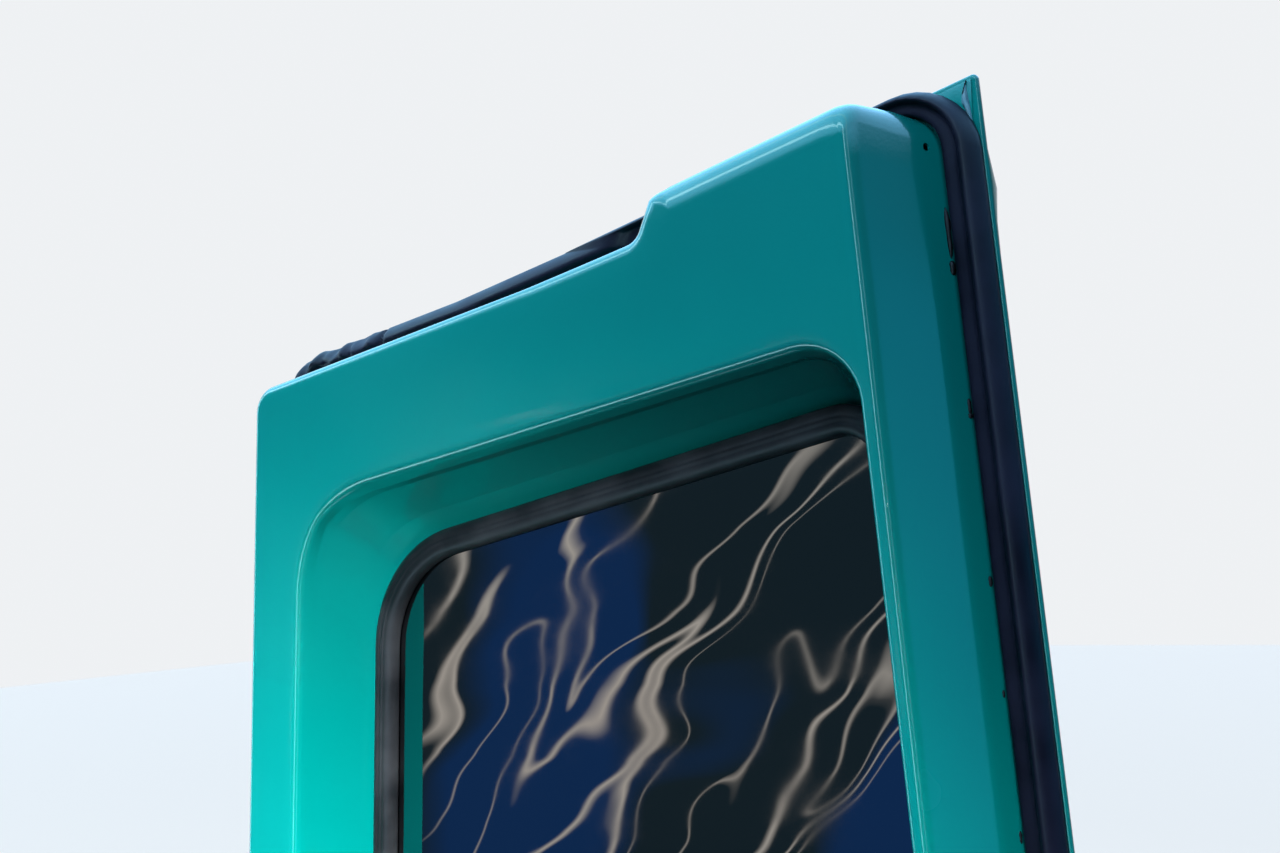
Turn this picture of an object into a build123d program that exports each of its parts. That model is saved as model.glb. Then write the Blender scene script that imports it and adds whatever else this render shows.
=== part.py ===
from build123d import *
import os
from math import cos, radians, sin

os.makedirs("parts", exist_ok=True)

# Rear cargo door of a panel van, stored fully open, with its two hinges.
# X runs from the hinge edge to the latch edge, Y from the inner face to the outer skin, and Z up along
# the hinge axis. The origin is the middle of the lower body leaf's four bolts, on its mounting face.

# Hinges
pin_to_bolts = 56.0
pin_stand_off = 16.0
hinge_spacing = 740.0
bolt_span_x = 38.0
bolt_span_z = 44.0
bolt_hole_radius = 4.2
leaf_length = 46.0
leaf_height = 84.0
leaf_plate = 4.0
leaf_corner = 10.0
knuckle_radius = 9.0
knuckle_height = 26.0
knuckle_gap = 1.0
web_length = 11.0
pin_radius = 4.0
pin_clearance = 0.05
pin_head_radius = 6.5
pin_head_height = 4.0

# Door shell
door_thickness = 65.0
sheet = 1.5
hem_return = 7.5
fit_gap = 0.2
face_round = 5.0
reveal_round = 4.5
cavity_bevel = 5.0

# Edges of the door, measured on the fold of the outer skin
lean = 3.1
bottom_z = -165.0
top_z = 1007.0
belt_z = 350.0
latch_x = 582.0
belt_x = -46.0
top_high_slope = 12.0
top_low_slope = 10.8
top_end_slope = 8.5
riser_slope = 65.0
step_x = 336.0
bend_x = 150.0
riser_rise = 22.0

# Window reveal: its wide mouth in the inner face and its narrow foot at the glass
mouth_hinge_x = 50.0
mouth_latch_x = 474.0
mouth_middle_z = 740.0
mouth_top_drop = 162.0
mouth_top_x = 310.0
mouth_top_slope = 8.4
mouth_latch_lean = 3.4
foot_hinge_inset = 17.0
foot_latch_inset = 17.0
foot_top_x = 265.8
foot_top_drop = 198.2
foot_top_slope = 10.5
window_bottom_z = 480.0
foot_bottom_inset = 17.0
pinch_flange = 8.0

# Glazing
glass_thickness = 4.5
glass_bite = 7.0
gasket_web = 3.0
gasket_inner_height = 10.0
gasket_outer_height = 5.0
gasket_outer_lip = 8.0
gasket_bevel = 3.0

# Perimeter seal
seal_height = 12.0
seal_shoulder = 6.0
seal_outer_slope = 4.0
seal_inner_slope = 4.0

# Pressed bead across the outside, above the window
bead_drop = 66.0
bead_height = 40.0
bead_proud = 8.0
bead_hinge_end = 60.0

# Handle and latch
handle_z = 320.0
handle_setback = 92.0
spindle_side = 8.0
rose_radius = 26.0
rose_height = 6.0
rose_bore_radius = 8.0
handle_hub_radius = 13.0
handle_reach = 34.0
handle_length = 120.0
handle_width = 20.0
handle_bar = 10.0
inside_rose_radius = 20.0
inside_rose_height = 3.0
inside_reach = 26.0
inside_length = 78.0
inside_bar = 7.0
running_gap = 0.5
bolt_width = 12.0
bolt_height = 20.0
bolt_throw = 12.0
bolt_depth = 36.0
bolt_length = 34.0
faceplate_length = 96.0
faceplate_width = 26.0
faceplate_plate = 2.5

# Service cover low on the inner face
cover_width = 330.0
cover_height = 250.0
cover_x = 250.0
cover_z = 110.0
cover_overlap = 14.0
cover_corner = 24.0

pin_x = -pin_to_bolts
pin_y = -pin_stand_off
skin_y = pin_y - pin_stand_off
skin_inner_y = skin_y - sheet
flange_y = skin_inner_y - sheet
hem_y = flange_y - sheet
face_y = skin_y - door_thickness


def along(point, heading, distance):
    """The point reached from a point by going a distance on a heading in degrees from +X."""
    return (
        point[0] + distance * cos(radians(heading)),
        point[1] + distance * sin(radians(heading)),
    )


def crossing(first, second):
    """Where two lines cross, each given as a point and a heading."""
    (px, pz), a = first
    (qx, qz), b = second
    turn = sin(radians(b - a))
    reach = ((qx - px) * sin(radians(b)) - (qz - pz) * cos(radians(b))) / turn
    return along((px, pz), a, reach)


def at_y(y):
    """The plane across the door at a depth y, with its own axes along X and Z."""
    return Plane.XZ.offset(-y)


latch_line = ((latch_x, bottom_z), 90.0 + lean)
latch_foot = (latch_x, bottom_z)
tip = crossing(latch_line, ((0.0, top_z), 180.0))
step_point = crossing((tip, 180.0 + top_high_slope), ((step_x, 0.0), 90.0))
bend_point = crossing((step_point, 180.0 + top_low_slope), ((bend_x, 0.0), 90.0))
belt_point = (belt_x, belt_z)
riser_point = (step_x, step_point[1] - riser_rise)

SKIN, SEAL, FOOT, FACE = range(4)
edge_table = [
    # edge, point on the skin's fold, heading, insets of skin, seal, wall foot and face,
    # and radii of the corner at its end on the skin, seal, wall foot and face
    ("latch", latch_foot, 90.0 + lean, (0, 0, 23, 49), (3, 40, 22, 14)),
    ("top_high", tip, 180.0 + top_high_slope, (0, -5, 8, 3), (0, 0, 10, 16)),
    ("riser", riser_point, 180.0 + riser_slope, (0, 0, 0, 0), (0, 0, 10, 12)),
    ("top_low", step_point, 180.0 + top_low_slope, (0, -3, 24, 30), (0, 0, 0, 0)),
    ("top_end", bend_point, 180.0 + top_end_slope, (0, -3, 23, 26), (34, 30, 22, 18)),
    ("hinge_upper", belt_point, 270.0 - lean, (0, 4, 24, 27), (2500, 2500, 2500, 2500)),
    ("hinge_lower", belt_point, 270.0 + lean, (0, 4, 24, 27), (12, 35, 25, 20)),
    ("bottom", latch_foot, 360.0 + lean, (0, 0, 24, 46), (12, 35, 25, 20)),
]


def outline_points(lines):
    """Corner points of a closed outline, where each line crosses the next one."""
    return [crossing(lines[i], lines[(i + 1) % len(lines)]) for i in range(len(lines))]


def corner_radii(lines, radii, grow):
    """Corner radii of an outline moved inwards by grow: outer corners shrink and inner ones widen."""
    result = []
    for i, radius in enumerate(radii):
        turn = (lines[(i + 1) % len(lines)][1] - lines[i][1] + 180.0) % 360.0 - 180.0
        if radius == 0:
            result.append(0.0)
        else:
            result.append(max(radius - grow if turn > 0 else radius + grow, 0.5))
    return result


def door_section(y, column, extra=0.0):
    """The door's outline at one column of the edge table, moved inwards by extra."""
    stepped = column in (FOOT, FACE)
    lines = []
    radii = []
    for name, point, heading, insets, rounds in edge_table:
        if name == "riser" and not stepped:
            continue
        lines.append((along(point, heading + 90.0, insets[column] + extra), heading))
        radii.append(rounds[column])
    with BuildSketch(at_y(y)) as section:
        with BuildLine():
            FilletPolyline(outline_points(lines), radius=corner_radii(lines, radii, extra), close=True)
        make_face()
    return section.sketch


MOUTH, GLAZED = range(2)
window_table = [
    # edge, heading, point and corner radius at the mouth, then the same at the foot
    ("latch", (90.0 + mouth_latch_lean, (mouth_latch_x, mouth_middle_z), 32.0),
              (90.0 + lean, (mouth_latch_x - foot_latch_inset, mouth_middle_z), 40.0)),
    ("top", (180.0 + mouth_top_slope, (mouth_top_x, top_z - mouth_top_drop), 75.0),
            (180.0 + foot_top_slope, (foot_top_x, top_z - foot_top_drop), 85.0)),
    ("hinge", (270.0 - lean, (mouth_hinge_x, mouth_middle_z), 55.0),
              (270.0 - lean, (mouth_hinge_x + foot_hinge_inset, mouth_middle_z), 62.0)),
    ("bottom", (360.0 + lean, (mouth_top_x, window_bottom_z), 50.0),
               (360.0 + lean, (mouth_top_x, window_bottom_z + foot_bottom_inset), 58.0)),
]


def window_section(y, column, extra=0.0):
    """The window's outline at its mouth or foot, moved inwards by extra."""
    lines = []
    radii = []
    for row in window_table:
        heading, point, radius = row[1 + column]
        lines.append((along(point, heading + 90.0, extra), heading))
        radii.append(radius)
    with BuildSketch(at_y(y)) as section:
        with BuildLine():
            FilletPolyline(outline_points(lines), radius=corner_radii(lines, radii, extra), close=True)
        make_face()
    return section.sketch


def window_ring(outer_extra, inner_extra, y_from, y_to):
    """A flat band round the glass, between two insets from the reveal's foot."""
    with BuildPart() as ring:
        extrude(window_section(y_to, GLAZED, outer_extra), amount=y_to - y_from)
        extrude(window_section(y_to, GLAZED, inner_extra), amount=y_to - y_from, mode=Mode.SUBTRACT)
    return ring.part


def door_ring(column, inner_column, y_from, y_to, outer_extra=0.0, inner_extra=0.0):
    """A flat band round the door's edge, between two of its outlines."""
    with BuildPart() as ring:
        extrude(door_section(y_to, column, outer_extra), amount=y_to - y_from)
        extrude(door_section(y_to, inner_column, inner_extra), amount=y_to - y_from, mode=Mode.SUBTRACT)
    return ring.part


# The latch side of the inner panel slopes, and the faceplate lies on that slope
latch_insets = edge_table[0][3]
wall_up = Vector(cos(radians(90.0 + lean)), 0, sin(radians(90.0 + lean)))
wall_in = Vector(cos(radians(180.0 + lean)), 0, sin(radians(180.0 + lean)))
wall_rise = wall_in * (latch_insets[FACE] - latch_insets[FOOT]) + Vector(0, face_y - flange_y, 0)
wall_normal = wall_up.cross(wall_rise).normalized()
latch_edge_at_handle = crossing(latch_line, ((0.0, handle_z), 0.0))
bolt_y = face_y + bolt_depth
wall_share = (flange_y - bolt_y) / (flange_y - face_y)
wall_point = along(latch_edge_at_handle, 180.0 + lean,
                   latch_insets[FOOT] + wall_share * (latch_insets[FACE] - latch_insets[FOOT]))
handle_x = latch_edge_at_handle[0] - handle_setback
faceplate_plane = Plane(origin=(wall_point[0], bolt_y, wall_point[1]), x_dir=wall_up, z_dir=wall_normal)
bolt_tip_x = wall_point[0] + bolt_throw + faceplate_plate

# Inner panel: a deep pressing with sloped walls, a stepped top and a funnel-shaped window reveal
with BuildPart() as cavity:
    cavity_shoulder_y = face_y + cavity_bevel
    cavity_shoulder = door_section(cavity_shoulder_y, FACE, sheet)
    loft([door_section(skin_inner_y, FOOT, sheet), cavity_shoulder], ruled=True)
    loft([cavity_shoulder, door_section(face_y + sheet, FACE, cavity_bevel)], ruled=True)
    reveal_shoulder = window_section(cavity_shoulder_y, MOUTH, -sheet)
    loft([window_section(skin_inner_y, GLAZED, -sheet), reveal_shoulder], ruled=True, mode=Mode.SUBTRACT)
    loft([reveal_shoulder, window_section(face_y + sheet, MOUTH, -cavity_bevel)],
         ruled=True, mode=Mode.SUBTRACT)

with BuildPart() as inner_panel:
    loft([door_section(skin_inner_y, FOOT), door_section(face_y, FACE)], ruled=True)
    front_edges = inner_panel.faces().sort_by(Axis.Y)[0].edges()
    fillet(front_edges, radius=face_round)
    loft([window_section(flange_y, GLAZED), window_section(face_y, MOUTH)],
         ruled=True, mode=Mode.SUBTRACT)
    mouth_edges = inner_panel.faces().sort_by(Axis.Y)[0].inner_wires()[0].edges()
    fillet(mouth_edges, radius=reveal_round)
    add(door_ring(SKIN, FOOT, flange_y, skin_inner_y, sheet + fit_gap, 2 * sheet))
    add(cavity.part, mode=Mode.SUBTRACT)
    extrude(window_section(skin_inner_y, GLAZED, pinch_flange), amount=2 * sheet, mode=Mode.SUBTRACT)
    with BuildSketch(at_y(face_y + 2 * sheet)) as service_hole:
        with Locations((cover_x, cover_z)):
            RectangleRounded(cover_width - 2 * cover_overlap, cover_height - 2 * cover_overlap,
                             cover_corner - cover_overlap / 2)
    extrude(amount=4 * sheet, mode=Mode.SUBTRACT)
    with BuildSketch(at_y(face_y + 2 * sheet)) as spindle_hole_in:
        with Locations((handle_x, handle_z)):
            Circle(rose_bore_radius)
    extrude(amount=4 * sheet, mode=Mode.SUBTRACT)
    with BuildSketch(Plane.YZ.offset(wall_point[0] - 3 * bolt_throw)) as bolt_slot:
        with Locations((bolt_y, handle_z)):
            Rectangle(bolt_width + 2 * running_gap, bolt_height + 2 * running_gap)
    extrude(amount=5 * bolt_throw, mode=Mode.SUBTRACT)
inner_panel.part.label = "inner_panel"
export_step(inner_panel.part, "parts/inner_panel.step")

# Outer skin: a flat sheet hemmed over the inner panel's flange, with a pressed bead above the window
bead_plane = Plane(
    origin=(tip[0], skin_y, tip[1] - bead_drop),
    x_dir=(0, 1, 0),
    z_dir=(cos(radians(180.0 + top_low_slope)), 0, sin(radians(180.0 + top_low_slope))),
)
with BuildPart() as outer_skin:
    extrude(door_section(skin_y, SKIN), amount=sheet)
    add(door_ring(SKIN, SKIN, hem_y, skin_inner_y, 0.0, sheet))
    add(door_ring(SKIN, SKIN, hem_y, flange_y, 0.0, hem_return))
    with BuildSketch(bead_plane.offset(-bead_height)) as bead_profile:
        with BuildLine():
            Polyline((0, -bead_height / 2), (bead_proud, -bead_height / 20), (bead_proud, bead_height / 20),
                     (0, bead_height / 2), (-sheet, bead_height / 2), (-sheet, -bead_height / 2), close=True)
        make_face()
        fillet(bead_profile.vertices().sort_by(Axis.X)[-2:], radius=bead_proud / 2)
    extrude(amount=tip[0] - belt_x - bead_hinge_end)
    extrude(door_section(skin_y + 2 * bead_proud, SKIN), amount=door_thickness, mode=Mode.INTERSECT)
    extrude(window_section(skin_y + sheet, GLAZED, pinch_flange), amount=3 * sheet, mode=Mode.SUBTRACT)
    with BuildSketch(at_y(skin_y + sheet)) as spindle_hole_out:
        with Locations((handle_x, handle_z)):
            Circle(rose_bore_radius)
    extrude(amount=3 * sheet, mode=Mode.SUBTRACT)
outer_skin.part.label = "outer_skin"
export_step(outer_skin.part, "parts/outer_skin.step")

# Glass and the rubber that holds it on the pinched flange of the two panels
glass_inset = pinch_flange + gasket_web + fit_gap
glass_middle_y = (flange_y + skin_y) / 2
gasket_inset = glass_inset + glass_bite
with BuildPart() as window_glass:
    extrude(window_section(glass_middle_y + glass_thickness / 2, GLAZED, glass_inset),
            amount=glass_thickness)
window_glass.part.label = "window_glass"
export_step(window_glass.part, "parts/window_glass.step")

with BuildPart() as window_gasket:
    add(window_ring(fit_gap, gasket_inset, flange_y - gasket_inner_height, flange_y - fit_gap))
    crown = window_gasket.faces().sort_by(Axis.Y)[0]
    chamfer(crown.edges(), length=gasket_bevel)
    add(window_ring(pinch_flange + fit_gap, gasket_inset, flange_y - fit_gap, skin_y + fit_gap))
    add(window_ring(pinch_flange - gasket_outer_lip, gasket_inset,
                    skin_y + fit_gap, skin_y + gasket_outer_height))
    add(window_ring(glass_inset - fit_gap, 60.0, glass_middle_y - glass_thickness / 2 - fit_gap,
                    glass_middle_y + glass_thickness / 2 + fit_gap), mode=Mode.SUBTRACT)
window_gasket.part.label = "window_gasket"
export_step(window_gasket.part, "parts/window_gasket.step")

# Perimeter seal: sponge rubber with a raised lip, on the flange and the hem
seal_back_y = flange_y - fit_gap
seal_shoulder_y = seal_back_y - seal_shoulder
seal_crest_y = hem_y - seal_height
with BuildPart() as weatherstrip:
    outer_shoulder = door_section(seal_shoulder_y, SEAL, 1)
    loft([door_section(seal_back_y, SEAL), outer_shoulder], ruled=True)
    loft([outer_shoulder, door_section(seal_crest_y, SEAL, seal_outer_slope)], ruled=True)
    inner_shoulder = door_section(seal_shoulder_y, FOOT, -seal_inner_slope / 2)
    loft([door_section(seal_back_y, FOOT, -fit_gap), inner_shoulder], ruled=True, mode=Mode.SUBTRACT)
    loft([inner_shoulder, door_section(seal_crest_y, FOOT, -seal_inner_slope)],
         ruled=True, mode=Mode.SUBTRACT)
    add(door_ring(SKIN, SKIN, hem_y - fit_gap, skin_y, -hem_return, hem_return + fit_gap),
        mode=Mode.SUBTRACT)
weatherstrip.part.label = "weatherstrip"
export_step(weatherstrip.part, "parts/weatherstrip.step")


def hinge_leaf(z, knuckle_spans, outward):
    """A leaf with its plate on one side of the hinge axis: outward is +1 for the body, -1 for the door."""
    plate_y = pin_y + outward * (pin_stand_off - leaf_plate / 2)
    plate_from = pin_x + web_length
    plate_to = pin_x + pin_to_bolts + leaf_length / 2 + bolt_span_x / 4
    with BuildPart() as leaf:
        with BuildSketch(at_y(plate_y + leaf_plate / 2)) as plate:
            with Locations(((plate_from + plate_to) / 2, z)):
                Rectangle(plate_to - plate_from, leaf_height)
            fillet(plate.vertices().sort_by(Axis.X)[-2:], radius=leaf_corner)
            with Locations((0.0, z)):
                with GridLocations(bolt_span_x, bolt_span_z, 2, 2):
                    Circle(bolt_hole_radius, mode=Mode.SUBTRACT)
        extrude(amount=leaf_plate)
        for low, high in knuckle_spans:
            with BuildSketch(Plane.XY.offset(z + low)) as knuckle:
                with Locations((pin_x, pin_y)):
                    Circle(knuckle_radius)
                with BuildLine():
                    Polyline(
                        (pin_x, pin_y),
                        (pin_x + knuckle_radius * cos(radians(30)), pin_y + outward * knuckle_radius / 2),
                        (pin_x + web_length, pin_y + outward * (pin_stand_off - leaf_plate)),
                        (pin_x + web_length + leaf_plate, pin_y + outward * (pin_stand_off - leaf_plate)),
                        (pin_x + web_length + leaf_plate, pin_y + outward * pin_stand_off),
                        (pin_x + web_length - leaf_plate, pin_y + outward * pin_stand_off),
                        (pin_x, pin_y + outward * knuckle_radius),
                        close=True,
                    )
                make_face()
                with Locations((pin_x, pin_y)):
                    Circle(pin_radius + pin_clearance, mode=Mode.SUBTRACT)
            extrude(amount=high - low)
    return leaf.part


half_centre = knuckle_height / 2
outer_span = (half_centre + knuckle_gap, half_centre + knuckle_gap + knuckle_height)
body_spans = [outer_span, (-outer_span[1], -outer_span[0])]
door_spans = [(-half_centre, half_centre)]
for name, z in [("lower_hinge", 0.0), ("upper_hinge", hinge_spacing)]:
    body_leaf = hinge_leaf(z, body_spans, 1)
    body_leaf.label = name + "_body_leaf"
    export_step(body_leaf, "parts/" + body_leaf.label + ".step")
    door_leaf = hinge_leaf(z, door_spans, -1)
    door_leaf.label = name + "_door_leaf"
    export_step(door_leaf, "parts/" + door_leaf.label + ".step")
    with BuildPart(Plane.XY.offset(z + outer_span[1])) as pin:
        with Locations((pin_x, pin_y, 0.0)):
            Cylinder(pin_head_radius, pin_head_height, align=(Align.CENTER, Align.CENTER, Align.MIN))
            Cylinder(pin_radius, 2 * outer_span[1] + pin_head_height,
                     align=(Align.CENTER, Align.CENTER, Align.MAX))
    pin.part.label = name + "_pin"
    export_step(pin.part, "parts/" + pin.part.label + ".step")

# Outside handle: a cast lever on a round rose, turning on a square spindle through the door
with BuildPart() as handle_rose:
    with BuildSketch(at_y(skin_y + rose_height)) as rose_disc:
        with Locations((handle_x, handle_z)):
            Circle(rose_radius)
            Circle(rose_bore_radius, mode=Mode.SUBTRACT)
    extrude(amount=rose_height)
    chamfer(handle_rose.faces().sort_by(Axis.Y)[-1].outer_wire().edges(), length=rose_height / 2)
handle_rose.part.label = "handle_rose"
export_step(handle_rose.part, "parts/handle_rose.step")

with BuildPart() as inside_rose:
    with BuildSketch(at_y(face_y)) as inside_disc:
        with Locations((handle_x, handle_z)):
            Circle(inside_rose_radius)
            Circle(rose_bore_radius, mode=Mode.SUBTRACT)
    extrude(amount=inside_rose_height)
inside_rose.part.label = "inside_rose"
export_step(inside_rose.part, "parts/inside_rose.step")

hub_y = skin_y + rose_height + running_gap
bar_y = skin_y + handle_reach
with BuildPart() as outside_handle:
    with BuildSketch(at_y(bar_y)) as hub:
        with Locations((handle_x, handle_z)):
            Circle(handle_hub_radius)
    extrude(amount=bar_y - hub_y)
    with BuildSketch(at_y(bar_y + handle_bar)) as lever:
        with Locations((handle_x, handle_z)):
            Circle(handle_hub_radius)
        with Locations((handle_x - handle_length, handle_z)):
            Circle(handle_width / 2)
        with BuildLine():
            Polyline((handle_x, handle_z + handle_hub_radius),
                     (handle_x - handle_length, handle_z + handle_width / 2),
                     (handle_x - handle_length, handle_z - handle_width / 2),
                     (handle_x, handle_z - handle_hub_radius), close=True)
        make_face()
    extrude(amount=handle_bar)
    chamfer(outside_handle.faces().sort_by(Axis.Y)[-1].edges(), length=handle_bar / 4)
    with BuildSketch(at_y(hub_y + 1.5 * spindle_side)) as square_socket:
        with Locations((handle_x, handle_z)):
            Rectangle(spindle_side, spindle_side)
    extrude(amount=2 * spindle_side, mode=Mode.SUBTRACT)
outside_handle.part.label = "outside_handle"
export_step(outside_handle.part, "parts/outside_handle.step")

inside_hub_y = face_y - inside_rose_height - running_gap
inside_bar_y = face_y - inside_reach
with BuildPart() as inside_handle:
    with BuildSketch(at_y(inside_hub_y)) as inside_hub:
        with Locations((handle_x, handle_z)):
            Circle(handle_hub_radius - 2)
    extrude(amount=inside_hub_y - inside_bar_y)
    with BuildSketch(at_y(inside_bar_y)) as inside_lever:
        with Locations((handle_x, handle_z)):
            Circle(handle_hub_radius - 2)
        with Locations((handle_x - inside_length, handle_z)):
            Circle(handle_width / 2 - 2)
        with BuildLine():
            Polyline((handle_x, handle_z + handle_hub_radius - 2),
                     (handle_x - inside_length, handle_z + handle_width / 2 - 2),
                     (handle_x - inside_length, handle_z - handle_width / 2 + 2),
                     (handle_x, handle_z - handle_hub_radius + 2), close=True)
        make_face()
    extrude(amount=inside_bar)
    chamfer(inside_handle.faces().sort_by(Axis.Y)[0].edges(), length=inside_bar / 4)
    with BuildSketch(at_y(inside_hub_y)) as inside_socket:
        with Locations((handle_x, handle_z)):
            Rectangle(spindle_side, spindle_side)
    extrude(amount=1.5 * spindle_side, mode=Mode.SUBTRACT)
inside_handle.part.label = "inside_handle"
export_step(inside_handle.part, "parts/inside_handle.step")

with BuildPart() as handle_spindle:
    with BuildSketch(at_y(hub_y + 1.5 * spindle_side)) as spindle_square:
        with Locations((handle_x, handle_z)):
            Rectangle(spindle_side, spindle_side)
    extrude(amount=hub_y - inside_hub_y + 3 * spindle_side)
handle_spindle.part.label = "handle_spindle"
export_step(handle_spindle.part, "parts/handle_spindle.step")

# Latch: a spring bolt that comes out of the sloped side through a faceplate
with BuildPart() as latch_faceplate:
    with BuildSketch(faceplate_plane) as plate_shape:
        SlotOverall(faceplate_length, faceplate_width)
    extrude(amount=faceplate_plate)
    with BuildSketch(Plane.YZ.offset(wall_point[0] - 3 * bolt_throw)) as plate_slot:
        with Locations((bolt_y, handle_z)):
            Rectangle(bolt_width + 2 * running_gap, bolt_height + 2 * running_gap)
    extrude(amount=5 * bolt_throw, mode=Mode.SUBTRACT)
latch_faceplate.part.label = "latch_faceplate"
export_step(latch_faceplate.part, "parts/latch_faceplate.step")

with BuildPart() as latch_bolt:
    with BuildSketch(Plane.XY.offset(handle_z - bolt_height / 2)) as bolt_plan:
        with BuildLine():
            Polyline(
                (bolt_tip_x - bolt_length, bolt_y - bolt_width / 2),
                (bolt_tip_x - bolt_width, bolt_y - bolt_width / 2),
                (bolt_tip_x, bolt_y + bolt_width / 4),
                (bolt_tip_x, bolt_y + bolt_width / 2),
                (bolt_tip_x - bolt_length, bolt_y + bolt_width / 2),
                close=True,
            )
        make_face()
    extrude(amount=bolt_height)
latch_bolt.part.label = "latch_bolt"
export_step(latch_bolt.part, "parts/latch_bolt.step")

# Service cover over the hole that the latch and its rods are reached through
with BuildPart() as service_cover:
    with BuildSketch(at_y(face_y)) as cover_shape:
        with Locations((cover_x, cover_z)):
            RectangleRounded(cover_width, cover_height, cover_corner)
    extrude(amount=sheet)
service_cover.part.label = "service_cover"
export_step(service_cover.part, "parts/service_cover.step")
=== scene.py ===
from math import cos, exp, pi, radians, sin, tan

import bmesh
import bpy
from mathutils import Matrix, Vector, noise
from mathutils.geometry import delaunay_2d_cdt


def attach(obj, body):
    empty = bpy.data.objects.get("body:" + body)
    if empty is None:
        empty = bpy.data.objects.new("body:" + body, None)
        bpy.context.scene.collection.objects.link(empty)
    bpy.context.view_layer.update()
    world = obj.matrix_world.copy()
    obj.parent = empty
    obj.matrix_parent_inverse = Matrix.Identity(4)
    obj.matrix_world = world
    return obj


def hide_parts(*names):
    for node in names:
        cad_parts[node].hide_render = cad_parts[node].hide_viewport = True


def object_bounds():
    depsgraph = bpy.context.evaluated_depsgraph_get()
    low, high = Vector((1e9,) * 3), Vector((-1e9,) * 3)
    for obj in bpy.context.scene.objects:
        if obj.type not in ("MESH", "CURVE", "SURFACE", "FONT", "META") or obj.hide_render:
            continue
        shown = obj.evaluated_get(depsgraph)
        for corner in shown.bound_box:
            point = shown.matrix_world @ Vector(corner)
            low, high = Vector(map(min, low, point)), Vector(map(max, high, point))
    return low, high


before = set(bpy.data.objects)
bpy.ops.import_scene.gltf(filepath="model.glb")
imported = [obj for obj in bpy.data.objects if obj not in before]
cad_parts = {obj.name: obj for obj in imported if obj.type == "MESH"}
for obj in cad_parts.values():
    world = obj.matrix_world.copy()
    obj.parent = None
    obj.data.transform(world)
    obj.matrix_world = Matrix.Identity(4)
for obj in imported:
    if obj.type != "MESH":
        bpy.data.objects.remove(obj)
cad_low, cad_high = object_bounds()

# Outer skin: the flat outside sheet of the door, pressed from thin steel and painted. Its edge is folded back
# over the inner panel's flange, and one long bead is pressed across it above the window to stiffen it. Its
# eight edges are drawn first, and each later sheet and rubber of the door follows them at its own inset.
lean = 3.1
latch_foot = (0.582, -0.165)
top_z = 1.007
belt_point = (-0.046, 0.350)
top_high_slope = 12.0
top_low_slope = 10.8
top_end_slope = 8.5
riser_slope = 65.0
step_x = 0.336
bend_x = 0.150
riser_rise = 0.022
sheet = 0.0015
skin_y = -0.032
flange_y = skin_y - 2 * sheet
hem_y = flange_y - sheet
hem_return = 0.0075
hem_round = 0.0018
hem_crease = 0.0004
skin_border = 0.010
pinch_flange = 0.008
bead_drop = 0.066
bead_height = 0.040
bead_proud = 0.008
bead_hinge_end = 0.060
bead_crown = 1.18
bead_rows = 13
bead_columns = 58
bead_column_gap = 0.012
mm = 0.001
enamel_teal = (0.0, 0.235, 0.230)
enamel_deep = (0.0, 0.215, 0.212)
enamel_dusty = (0.004, 0.260, 0.252)


def along(point, heading, distance):
    """The point reached from a point by going a distance on a heading in degrees from +X."""
    return (point[0] + distance * cos(radians(heading)), point[1] + distance * sin(radians(heading)))


def crossing(first, second):
    """Where two lines cross, each given as a point and a heading."""
    (px, pz), a = first
    (qx, qz), b = second
    reach = ((qx - px) * sin(radians(b)) - (qz - pz) * cos(radians(b))) / sin(radians(b - a))
    return along((px, pz), a, reach)


tip = crossing((latch_foot, 90.0 + lean), ((0.0, top_z), 180.0))
step_point = crossing((tip, 180.0 + top_high_slope), ((step_x, 0.0), 90.0))
bend_point = crossing((step_point, 180.0 + top_low_slope), ((bend_x, 0.0), 90.0))
riser_point = (step_x, step_point[1] - riser_rise)

SKIN, SEAL, FOOT, FACE = range(4)
door_edges = [
    # edge, point, heading, insets of skin, seal, wall foot and face in mm, radii of the corner at its end on
    # the same four in mm, points on the edge, points on the corner. The numbers of points hold at any inset,
    # so that one outline can be joined to another.
    ("latch", latch_foot, 90.0 + lean, (0, 1.5, 23, 49), (3, 40, 22, 14), 60, 9),
    ("top_high", tip, 180.0 + top_high_slope, (0, -5, 8, 3), (0, 0, 10, 16), 12, 6),
    ("riser", riser_point, 180.0 + riser_slope, (0, 0, 0, 0), (0, 0, 10, 12), 2, 6),
    ("top_low", step_point, 180.0 + top_low_slope, (0, -3, 24, 30), (0, 0, 0, 0), 12, 0),
    ("top_end", bend_point, 180.0 + top_end_slope, (0, -3, 23, 26), (34, 30, 22, 18), 64, 16),
    ("hinge_upper", belt_point, 270.0 - lean, (0, 4, 24, 27), (2500, 2500, 2500, 2500), 14, 8),
    ("hinge_lower", belt_point, 270.0 + lean, (0, 4, 24, 27), (12, 35, 25, 20), 14, 8),
    ("bottom", latch_foot, 360.0 + lean, (0, 0, 24, 46), (12, 35, 25, 20), 20, 8),
]


def turn_at(lines, i):
    """How far a closed outline turns at the end of its line i, in degrees."""
    return (lines[(i + 1) % len(lines)][1] - lines[i][1] + 180.0) % 360.0 - 180.0


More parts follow.
